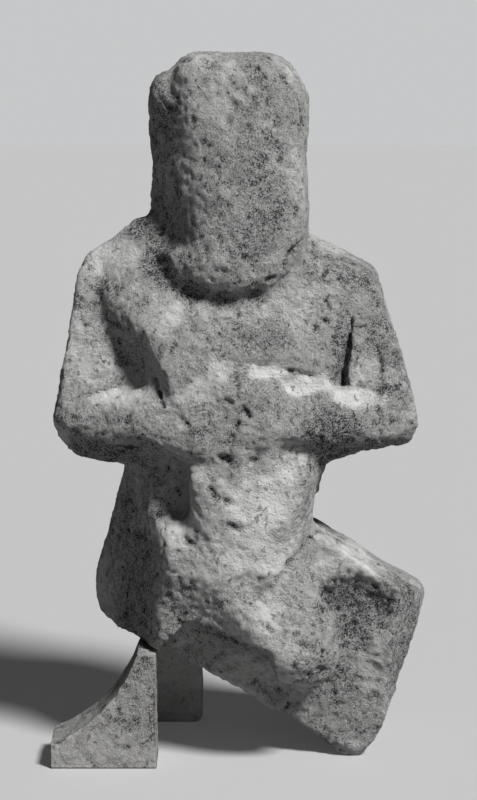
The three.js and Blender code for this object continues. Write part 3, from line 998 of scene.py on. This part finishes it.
    def lap(self, p: Array) -> Array:
        """Waist, belly, hips and the ridge of the lap, with the break under the ridge.

        Args:
            p: Points.

        Returns:
            The distance at each point.
        """
        d = slab(p, HIP_OUTLINE, (-46, 50), 10)
        belly = limb(p, (4, -37, 236), (5, -33, 136), (-0.06, 1, 0), (54, 34), (38, 34), 20)
        d = soft_min(d, belly, 14)
        d = soft_min(d, ellipsoid(p, (-28, -18, 148), (44, 44, 48)), 14)
        d = soft_min(d, ellipsoid(p, (-44, -34, 162), (32, 31, 34)), 12)
        d = soft_min(d, ellipsoid(p, (4, -48, 233), (44, 28, 22)), 8)
        ridge = limb(p, (-16, -30, 160), (54, -56, 88), (0.4, 0.5, 1), (28, 20), (30, 30), 10)
        d = soft_min(d, ridge, 14)
        apron = limb(p, (-58, -24, 118), (24, -50, 100), (0, 0, 1), (22, 23), (27, 24), 12)
        d = soft_min(d, apron, 14)
        d = soft_min(d, ellipsoid(p, (50, -52, 86), (24, 27, 24)), 12)
        d = soft_max(d, cut(p, (45, -82, 96), (0.08, -0.97, -0.22)), 10)
        d = soft_min(d, ellipsoid(p, (-50, -42, 112), (11, 11, 12)), 4)
        broken = -cut(p, (-17, -53, 108), (-0.25, -0.81, -0.53))
        broken = soft_max(broken, -cut(p, (-17, -60, 106), (-0.3, 0, -0.95)), 3)
        broken = soft_max(broken, p[:, 0] - 25 + 0.1 * (p[:, 2] - 93), 5)
        broken = soft_max(broken, -50 - p[:, 0] + (p[:, 2] - 98), 6)
        return soft_max(d, -broken, 3)

    def lower_body(self, p: Array) -> Array:
        """The lap, the hollowed block at the right, the seat behind, and the flat left side.

        Args:
            p: Points.

        Returns:
            The distance at each point.
        """
        block = trim(
            p, slab(p, SEAT_OUTLINE, (-52, 76), 6),
            ((110, -47, 125), (-0.1, -0.98, -0.12), 5),
            ((93, 20, 153), (0.6, 0.26, 1), 6),
            ((117, -40, 100), (0.93, -0.36, -0.14), 3),
        )
        block = soft_max(block, p[:, 1] - 77 + 0.001 * (p[:, 0] - 20) ** 2, 12)
        block = soft_max(block, -ellipsoid(p, (74, -76, 110), (76, 41, 48)), 5)
        return trim(
            p, soft_min(self.lap(p), block, 5),
            ((-69, -38, 210), (-0.9, -0.42, 0.1), 3),
            ((-65, -42, 132), (-0.87, -0.48, -0.02), 4),
        )

    @staticmethod
    def swell(p: Array) -> Array:
        """Slow swelling that wear has left on every carved plane.

        Args:
            p: Points.

        Returns:
            How far the stone goes in at each point.
        """
        x, y, z = p.T
        first = np.sin(0.082 * x + 0.3) * np.sin(0.074 * z - 0.05 * y + 1.1)
        second = np.sin(0.137 * z + 0.9 * np.sin(0.05 * x)) * np.sin(0.151 * x + 0.11 * y + 2)
        return first + 0.6 * second

    def slit(self, p: Array) -> Array:
        """The deep narrow slit between the chest and the right arm, wider at its foot.

        Args:
            p: Points.

        Returns:
            The distance at each point.
        """
        x, y, z = p.T
        share = np.clip((343 - z) / 56, -0.2, 1.2)
        half = np.clip(-46 - y, 0, 18) / 12 * (1.1 + 1.6 * share)
        return np.maximum(np.abs(x - 83.5 + 8 * share) - half, np.abs(z - 315) - 28)

    def distance(self, p: Array) -> Array:
        """Distance to the whole stone, flat where it touches the ground.

        Args:
            p: Points.

        Returns:
            The distance at each point.
        """
        d = soft_min(self.torso(p), self.lower_body(p), 10)
        d = soft_min(d, self.forearms(p), 5)
        d = soft_min(d, self.head(p), 5)
        d = soft_max(d, -rounded_box(p, (-51, -64, 211), (16, 20, 23), 9), 4)
        d = soft_max(d, -ellipsoid(p, (73, -76, 292), (11, 17, 13)), 4)
        d = soft_max(d + self.swell(p), -self.slit(p), 1.2)
        return np.maximum(d, -p[:, 2])

    def underside_at(self, x: float, y: float) -> float:
        """Find the stone's underside over a point of the ground.

        Args:
            x: First place of the point.
            y: How far back it lies.

        Returns:
            The height of the underside, or a height over all props where there is no stone.
        """
        lowest, highest, step, touch, clear = 20.0, 160.0, 0.1, 0.05, 200.0
        levels = np.arange(lowest, highest, step)
        points = np.stack([np.full_like(levels, x), np.full_like(levels, y), levels], axis=1)
        met = np.flatnonzero(self.distance(points) < touch)
        return float(levels[met[0]]) if len(met) else clear

    def build(self) -> bpy.types.Object:
        """Carve the figure, wear it and make its mesh.

        Returns:
            The figure's object.
        """
        facets = Carver(self.low, self.high, self.cell).carve(self.distance)
        surface = Surface(facets)
        rng = np.random.default_rng(41)
        behind = np.clip((facets.vertices[:, 1] - 10) / 30, 0, 1)
        surface.darken_patches(STAINS_AND_SHADE, 51)
        surface.rub(RUBS, 53)
        rough = (1 - 0.5 * behind) * (1.15 - 0.75 * np.clip(surface.worn, 0, 1) + 0.35 * surface.dirt_and_shade)
        for size, height, seed, where in (
                (30, 0.9, 3, 1.0), (12, 0.45, 5, 1.0), (5.5, 0.36, 7, rough), (2.8, 0.60, 9, rough)):
            surface.roughen(size, height, seed, where)
        for size, depth, seed in ((6.5, 0.5, 15), (3.4, 0.75, 13)):
            surface.peck(size, depth, seed, rough)
        surface.mark(scatter(rng, facets.vertices, count=420, width=(1.0, 2.6), depth=(0.25, 0.6)))
        surface.mark(surface.settle(MARKS))
        return surface.build("carved_figure", self.node)


class PropShape(Enum):
    """The two props that hold the stone level."""

    WEDGE = "front_prop_wedge"
    BLOCK = "rear_prop_block"


@dataclass
class Prop:
    """A loose stone prop under the break.

    Attributes:
        figure: The figure that rests on it.
        shape: Which of the two props it is.
        left: Left side.
        right: Right side.
        front: Front face.
        back: Back face.
        seed: Seed of its wear.
        gap: Space left under the figure.
        cell: Mesh cell size.
    """

    figure: SeatedFigure
    shape: PropShape
    left: float
    right: float
    front: float
    back: float
    seed: int
    gap: float = 0.7
    cell: float = 1.25

    # Stone that is left around the outline before it is carved.
    SPARE: ClassVar[float] = 6.0

    def levels(self, left: float, back: float) -> Pair:
        """Work out the slanted top, just clear of the stone above.

        Args:
            left: Where the top begins.
            back: How far back the stone above reaches.

        Returns:
            Heights at the top's left and right ends.
        """
        across, deep = 6, 4
        shares = [i / across for i in range(across + 1)]
        depths = [self.front + (back - self.front) * j / deep for j in range(deep + 1)]
        rows = [min(self.figure.underside_at(left + (self.right - left) * s, y) for y in depths) - self.gap
                for s in shares]
        excess = max(rows[0] + (rows[-1] - rows[0]) * s - row for s, row in zip(shares, rows))
        return rows[0] - excess, rows[-1] - excess

    def outline(self) -> list[Pair]:
        """Draw the prop as seen from the front.

        Returns:
            Corners of the outline in x and z.
        """
        if self.shape is PropShape.WEDGE:
            top_left, heel, hollow = -75.0, 19.0, (-94.0, 36.0)
            high, low = self.levels(top_left, self.back)
            points = [(self.left, 0.0), (self.right, 0.0), (self.right, low)]
            steps = 14
            for step in range(steps + 1):
                t = step / steps
                near, middle, far = (1 - t) ** 2, 2 * t * (1 - t), t * t
                points.append((near * top_left + middle * hollow[0] + far * self.left,
                               near * high + middle * hollow[1] + far * heel))
            return points
        corner = 6.0
        seat_back = 77.0
        high, low = self.levels(self.left, seat_back)
        points = [(self.left, 0.0), (self.right - corner, 0.0)]
        steps = 4
        for step in range(1, steps + 1):
            turn = step / steps * math.pi / 2
            points.append((self.right - corner * (1 - math.sin(turn)), corner * (1 - math.cos(turn))))
        return [*points, (self.right, low), (self.left, high)]

    def build(self) -> bpy.types.Object:
        """Make the prop's worn mesh.

        Returns:
            The prop's object.
        """
        points = self.outline()
        spare = self.SPARE
        low = (self.left - spare, self.front - spare, 1 - spare)
        high = (self.right + spare, self.back + spare, max(z for _, z in points) + spare)

        def distance(p: Array) -> Array:
            """Distance to the prop, with dull edges."""
            return np.maximum(slab(p, points, (self.front, self.back), 1.1), -p[:, 2])

        facets = Carver(low, high, (self.cell,) * 3).carve(distance)
        surface = Surface(facets)
        for size, height in ((16, 0.35), (7, 0.25), (3.2, 0.22)):
            grain = Grain(size, self.seed + int(size)).at(facets.vertices)
            surface.inward += height * (grain + 0.8)
        surface.peck(6, 0.6, self.seed + 1)
        rng = np.random.default_rng(self.seed)
        surface.mark(scatter(rng, facets.vertices, count=130, width=(1.0, 2.6), depth=(0.25, 0.5)))
        return surface.build(f"worn_{self.shape.value}", self.shape.value)


# Finishes.
Socketable = Union["Shade", float, bpy.types.NodeSocket]


class Shade:
    """An output socket that takes part in arithmetic by adding Math nodes."""

    def __init__(self, tree: bpy.types.NodeTree, socket: bpy.types.NodeSocket) -> None:
        """Keep the node tree and the socket."""
        self.tree = tree
        self.socket = socket

    def _math(self, operation: str, first: Socketable, second: Socketable) -> "Shade":
        """Add a Math node."""
        made = add_node(self.tree, "ShaderNodeMath", {"operation": operation}, {0: first, 1: second})
        return Shade(self.tree, made.outputs[0])

    def __add__(self, other: Socketable) -> "Shade":
        """Add."""
        return self._math("ADD", self, other)

    __radd__ = __add__

    def __mul__(self, other: Socketable) -> "Shade":
        """Multiply."""
        return self._math("MULTIPLY", self, other)

    __rmul__ = __mul__

    def __sub__(self, other: Socketable) -> "Shade":
        """Take away."""
        return self._math("SUBTRACT", self, other)

    def __rsub__(self, other: Socketable) -> "Shade":
        """Take this away from a number."""
        return self._math("SUBTRACT", other, self)

    def clamp(self) -> "Shade":
        """Hold between 0 and 1."""
        made = add_node(self.tree, "ShaderNodeClamp", {}, {"Value": self})
        return Shade(self.tree, made.outputs[0])

    def ramp(self, low: float, high: float) -> "Shade":
        """Spread a span of values over 0 to 1, smoothly.

        Args:
            low: What becomes 0.
            high: What becomes 1.

        Returns:
            The new values.
        """
        values = {"Value": self, "From Min": low, "From Max": high}
        made = add_node(self.tree, "ShaderNodeMapRange", {"interpolation_type": "SMOOTHSTEP"}, values)
        return Shade(self.tree, made.outputs[0])


def add_node(tree: bpy.types.NodeTree, kind: str, settings: dict, inputs: dict) -> bpy.types.Node:
    """Add a node, set it up and feed it.

    Args:
        tree: The node tree.
        kind: The node's type.
        settings: Properties of the node, set first.
        inputs: Values or links by socket name or number.

    Returns:
        The node.
    """
    node = tree.nodes.new(kind)
    for name, value in settings.items():
        setattr(node, name, value)
    for name, value in inputs.items():
        source = value.socket if isinstance(value, Shade) else value
        if isinstance(source, bpy.types.NodeSocket):
            tree.links.new(source, node.inputs[name])
        else:
            node.inputs[name].default_value = source
    return node


@dataclass(frozen=True)
class StoneFinish:
    """Dry porous stone, darkened by dirt in its hollows and by painted shade.

    Attributes:
        name: Name of the material.
        pale: Worn clean stone.
        body: Ordinary stone.
        dirt_and_shade: Colour of dirt, patina and painted shade.
        speckle: How strongly the fine dark specks show.
        mottle: How strongly the broad clouds show.
        bump: Depth of the fine grain, in metres.
        roughness: Roughness of the dry stone.
        shine: Strength of its highlights.
    """

    name: str
    pale: Colour
    body: Colour
    dirt_and_shade: Colour
    speckle: float
    mottle: float
    bump: float = 0.0022
    roughness: float = 0.93
    shine: float = 0.25

    def material(self) -> bpy.types.Material:
        """Make the material.

        Returns:
            The material, with the carved surface's layers read into its tone.
        """
        made = bpy.data.materials.new(self.name)
        made.use_nodes = True
        tree = made.node_tree
        shader = tree.nodes["Principled BSDF"]
        place = add_node(tree, "ShaderNodeTexCoord", {}, {}).outputs["Object"]

        def noise(scale: float, detail: float, rough: float,
                  where: bpy.types.NodeSocket = place) -> Shade:
            """Add a noise texture.

            Args:
                scale: Its clouds to a metre, roughly.
                detail: Number of finer layers.
                rough: How strong the finer layers are.
                where: Where it is read.

            Returns:
                The noise.
            """
            node = add_node(tree, "ShaderNodeTexNoise", {},
                            {"Vector": where, "Scale": scale, "Detail": detail, "Roughness": rough})
            return Shade(tree, node.outputs[0])

        def layer(name: str) -> Shade:
            """Read one of the carved surface's layers."""
            node = add_node(tree, "ShaderNodeAttribute", {"attribute_name": name}, {})
            return Shade(tree, node.outputs["Fac"])

        def blend(share: Socketable, first: Socketable, second: Socketable) -> bpy.types.NodeSocket:
            """Mix two colours."""
            node = add_node(tree, "ShaderNodeMix", {"data_type": "RGBA"}, {0: share, 6: first, 7: second})
            return node.outputs[2]

        def hollows(scale: float, radius: float, seed: float) -> Shade:
            """Scatter small pits with ragged outlines.

            Args:
                scale: Number of pits to a metre.
                radius: Size of a pit as a share of the distance between two.
                seed: Moves the pits elsewhere.

            Returns:
                1 in the pits and 0 between them.
            """
            bend = add_node(tree, "ShaderNodeTexNoise", {},
                            {"Vector": place, "Scale": scale * 2.2, "Detail": 2.0})
            moved = add_node(tree, "ShaderNodeVectorMath", {"operation": "MULTIPLY_ADD"},
                             {0: bend.outputs["Color"], 1: (0.6 / scale,) * 3, 2: place})
            shifted = add_node(tree, "ShaderNodeVectorMath", {"operation": "ADD"},
                               {0: moved.outputs[0], 1: (seed,) * 3})
            cells = add_node(tree, "ShaderNodeTexVoronoi", {}, {"Vector": shifted.outputs[0], "Scale": scale})
            return 1 - Shade(tree, cells.outputs["Distance"]).ramp(0.45 * radius, radius)

        broad = noise(24, 5, 0.65)
        cloud = noise(75, 6, 0.7)
        grain = noise(230, 8, 0.8)
        sand = noise(820, 3, 0.7)
        # The carved surface's layer of dirt and painted shade.
        dirt_and_shade = layer("dirt_and_shade")
        worn = layer("worn")
        upright = add_node(tree, "ShaderNodeVectorMath", {"operation": "MULTIPLY"},
                           {0: place, 1: (1.0, 1.3, 0.62)})
        ragged = noise(190, 7, 0.72, upright.outputs[0])
        pits = ragged.ramp(0.56, 0.65) * cloud.ramp(0.46, 0.60)
        pores = hollows(300, 0.30, 0.7) * broad.ramp(0.42, 0.62)
        coarse = ((1 - worn * 0.85) * (broad.ramp(0.40, 0.58) * 0.75 + 0.5 + dirt_and_shade * 0.4)).clamp()
        patches = (broad.ramp(0.50, 0.72) * 0.30 + cloud.ramp(0.50, 0.72) * 0.35) * self.mottle
        # Dirt and painted shade from that layer, with broad mottled clouds.
        darkening = (dirt_and_shade * 0.9 + patches * coarse).clamp()
        flecks = (grain.ramp(0.48, 0.66) * 0.55 + sand.ramp(0.46, 0.62) * 0.6) * self.speckle
        dark = darkening * 0.24 + flecks * coarse * (0.30 + darkening * 1.75)
        dark = dark + pits * (1 - worn * 0.6) * 0.65 + pores * 0.4 * coarse
        light = worn * 0.85 + (1 - grain.ramp(0.34, 0.54)) * 0.45 + (1 - sand.ramp(0.36, 0.54)) * 0.3
        clean = blend(light.clamp(), (*self.body, 1.0), (*self.pale, 1.0))
        colour = blend(dark.clamp(), clean, (*self.dirt_and_shade, 1.0))
        tree.links.new(colour, shader.inputs["Base Color"])
        dry = (self.roughness - worn * 0.08 + darkening * 0.04).clamp()
        tree.links.new(dry.socket, shader.inputs["Roughness"])
        shader.inputs["Specular IOR Level"].default_value = self.shine
        height = cloud * 0.5 + grain * coarse * 0.9 + sand * coarse * 0.25 - pits * 0.35 - pores * 0.15
        bump = add_node(tree, "ShaderNodeBump", {},
                        {"Strength": 1.0, "Distance": self.bump, "Height": height})
        tree.links.new(bump.outputs[0], shader.inputs["Normal"])
        return made


@dataclass(frozen=True)
class Ground:
    """The plain pale floor that the figure stands on.

    Attributes:
        radius: Radius of the floor, in metres.
        corners: Number of its corners.
        drop: How far it lies under the stone's foot, so that the two share no plane.
        colour: Colour of the floor as it is seen.
        bounce: Colour of the light that the floor throws back at the figure.
        glow: Light that the seen floor adds, so that its shadows stay soft.
    """

    radius: float = 9.0
    corners: int = 64
    drop: float = 0.0003
    colour: Colour = (0.51, 0.51, 0.51)
    bounce: Colour = (0.27, 0.27, 0.27)
    glow: float = 0.045

    def build(self) -> None:
        """Make the floor and give it its paint."""
        turns = [math.tau * n / self.corners for n in range(self.corners)]
        ring = [(self.radius * math.cos(turn), self.radius * math.sin(turn), -self.drop) for turn in turns]
        mesh = bpy.data.meshes.new("pale_floor")
        mesh.from_pydata(ring, [], [tuple(range(self.corners))])
        floor = add_object("pale_floor", mesh)
        mesh.materials.append(self._paint())

    def _paint(self) -> bpy.types.Material:
        """Make the floor's matt paint, which is pale to the eye and throws little light back.

        Returns:
            The paint.
        """
        paint = bpy.data.materials.new("pale_floor")
        paint.use_nodes = True
        tree = paint.node_tree
        seen = add_node(tree, "ShaderNodeBsdfDiffuse", {}, {"Color": (*self.colour, 1.0)})
        thrown = add_node(tree, "ShaderNodeBsdfDiffuse", {}, {"Color": (*self.bounce, 1.0)})
        path = add_node(tree, "ShaderNodeLightPath", {}, {}).outputs["Is Camera Ray"]
        glow = add_node(tree, "ShaderNodeEmission", {}, {"Strength": self.glow})
        lit = add_node(tree, "ShaderNodeAddShader", {}, {0: seen.outputs[0], 1: glow.outputs[0]})
        both = add_node(tree, "ShaderNodeMixShader", {}, {0: path, 1: thrown.outputs[0], 2: lit.outputs[0]})
        tree.links.new(both.outputs[0], tree.nodes["Material Output"].inputs["Surface"])
        return paint


@dataclass(frozen=True)
class Lamp:
    """A soft light from far away.

    Attributes:
        name: Name of the light.
        place: The side that it comes from.
        spread: Its width as an angle, in degrees.
        power: Strength.
    """

    name: str
    place: Point
    spread: float
    power: float

    # The middle of the figure, in metres.
    AIM: ClassVar[Point] = (0.0, 0.0, 0.28)

    def build(self) -> None:
        """Hang the light and turn it to the figure."""
        data = bpy.data.lights.new(self.name, "SUN")
        data.angle = math.radians(self.spread)
        data.energy = self.power
        lamp = add_object(self.name, data)
        lamp.location = self.place
        lamp.rotation_euler = (Vector(self.AIM) - Vector(self.place)).to_track_quat("-Z", "Y").to_euler()


@dataclass(frozen=True)
class Studio:
    """Camera, floor, lights and the pale surround.

    Attributes:
        distance: From the camera to the figure's middle, in metres.
        elevation: How far the camera looks down, in degrees.
        aim: The point looked at, in metres.
        lens: Focal length, in millimetres.
        sensor: Height of the camera's frame, in millimetres.
        surround_light: Light that the surround gives.
        surround_seen: What it gains where the camera sees it.
    """

    distance: float = 1.8
    elevation: float = CAMERA_ELEVATION
    aim: Point = (-0.0018, -0.0019, 0.26775)
    lens: float = 108.0
    sensor: float = 36.0
    surround_light: float = 0.02
    surround_seen: float = 0.56

    def build(self) -> None:
        """Set up everything around the figure."""
        Ground().build()
        lamps = (
            Lamp("key", place=(0.90, -0.98, 1.77), spread=12.0, power=4.15),
            Lamp("fill", place=(0.2, -1.8, 0.9), spread=70.0, power=0.05),
        )
        for lamp in lamps:
            lamp.build()
        self._surround()
        self._camera()

    def _camera(self) -> None:
        """Place the camera at the photograph's angle."""
        turn = math.radians(self.elevation)
        data = bpy.data.cameras.new("camera")
        data.sensor_width = self.sensor
        data.lens = self.lens
        camera = add_object("camera", data)
        x, y, z = self.aim
        camera.location = (x, y - self.distance * math.cos(turn), z + self.distance * math.sin(turn))
        camera.rotation_euler = (math.pi / 2 - turn, 0, 0)
        bpy.context.scene.camera = camera

    def _surround(self) -> None:
        """Make the surround pale to the eye and dim as a light."""
        world = bpy.data.worlds.new("surround")
        world.use_nodes = True
        tree = world.node_tree
        background = tree.nodes["Background"]
        path = Shade(tree, add_node(tree, "ShaderNodeLightPath", {}, {}).outputs["Is Camera Ray"])
        background.inputs["Color"].default_value = (0.98, 0.99, 1.0, 1.0)
        strength = path * self.surround_seen + self.surround_light
        tree.links.new(strength.socket, background.inputs["Strength"])
        bpy.context.scene.world = world


def dress(piece: bpy.types.Object, material: bpy.types.Material, node: str) -> None:
    """Give a piece its finish and let it stand for its CAD node.

    Args:
        piece: The object.
        material: Its finish.
        node: The CAD node that it replaces.
    """
    piece.data.materials.append(material)
    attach(piece, "root")
    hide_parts(node)
    log.info("%s: %d faces for %s", piece.name, len(piece.data.polygons), node)


def main() -> None:
    """Build the figure, the props and the studio."""
    logging.basicConfig(level=logging.INFO, format="%(message)s")
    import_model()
    figure = SeatedFigure()
    limestone = StoneFinish(
        name="worn_limestone", pale=(0.69, 0.687, 0.68), body=(0.615, 0.612, 0.605),
        dirt_and_shade=(0.055, 0.054, 0.053), speckle=1.0, mottle=0.7, bump=0.0054,
    )
    wedge_stone = StoneFinish(
        name="speckled_stone", pale=(0.56, 0.555, 0.54), body=(0.38, 0.375, 0.366),
        dirt_and_shade=(0.05, 0.049, 0.047), speckle=1.5, mottle=1.5,
    )
    # The rear prop is near white as painted light, so that it shows bright in the figure's shadow.
    block_stone = StoneFinish(
        name="painted_light_stone", pale=(0.97, 0.96, 0.945), body=(0.93, 0.92, 0.905),
        dirt_and_shade=(0.3, 0.297, 0.29), speckle=0.7, mottle=0.9,
    )
    dress(figure.build(), limestone.material(), figure.node)
    wedge = Prop(figure, PropShape.WEDGE, left=-140, right=-61, front=-60, back=-10, seed=60)
    dress(wedge.build(), wedge_stone.material(), PropShape.WEDGE.value)
    block = Prop(figure, PropShape.BLOCK, left=-72, right=-28, front=60, back=87, seed=80)
    dress(block.build(), block_stone.material(), PropShape.BLOCK.value)
    Studio().build()
    bpy.context.scene.view_settings.view_transform = "Standard"


if __name__ == "__main__":
    main()
